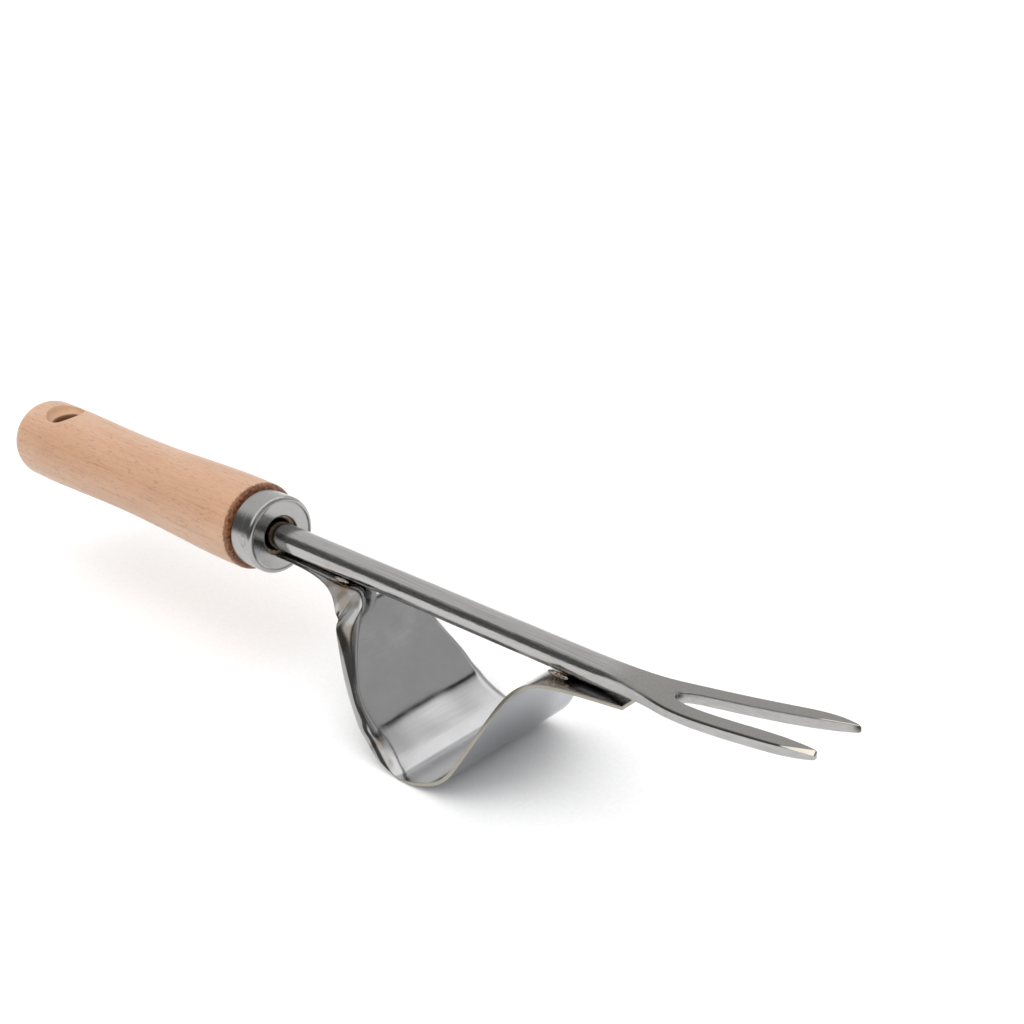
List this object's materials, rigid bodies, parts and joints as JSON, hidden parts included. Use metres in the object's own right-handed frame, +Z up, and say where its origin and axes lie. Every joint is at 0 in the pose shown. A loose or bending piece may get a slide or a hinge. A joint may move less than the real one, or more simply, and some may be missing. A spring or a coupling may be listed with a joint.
{
  "type": "hand weeder",
  "caption": "Hand weeder with a turned wooden handle, capped ferrule, round steel rod ending in a forked tip and a bent sheet fulcrum plate under the rod for levering roots out",
  "frame": {"origin": "middle of the tool's bounding box in plan, on the ground plane that the crown of the fulcrum plate rests on", "axes": "+X runs along the rod from the handle to the fork, +Y to the left, +Z up, away from the fulcrum plate"},
  "size_m": [0.3174, 0.0436, 0.0543],
  "materials": {
    "beech": "turned beech with a thin satin lacquer and short dark flecks along the grain, burnt brown at the shoulder",
    "capped_steel": "satin stainless tube with fine turning scratches and a bright rounded rim",
    "forged_steel": "ground and polished stainless bar, satin on the fork faces, with light scratches",
    "polished_sheet": "bright polished stainless sheet with soft waves and cream-grey cut edges",
    "resin": "dark cured adhesive",
    "weld_metal": "dressed weld beads with brown heat tint"
  },
  "bodies": {
    "root": {"handle": "beech", "ferrule": "capped_steel", "fork_rod": "forged_steel", "fulcrum_plate": "polished_sheet", "tang_resin": "resin", "weld_rear_left": "weld_metal", "weld_rear_right": "weld_metal", "weld_front_left": "weld_metal", "weld_front_right": "weld_metal"}
  },
  "joints": []
}
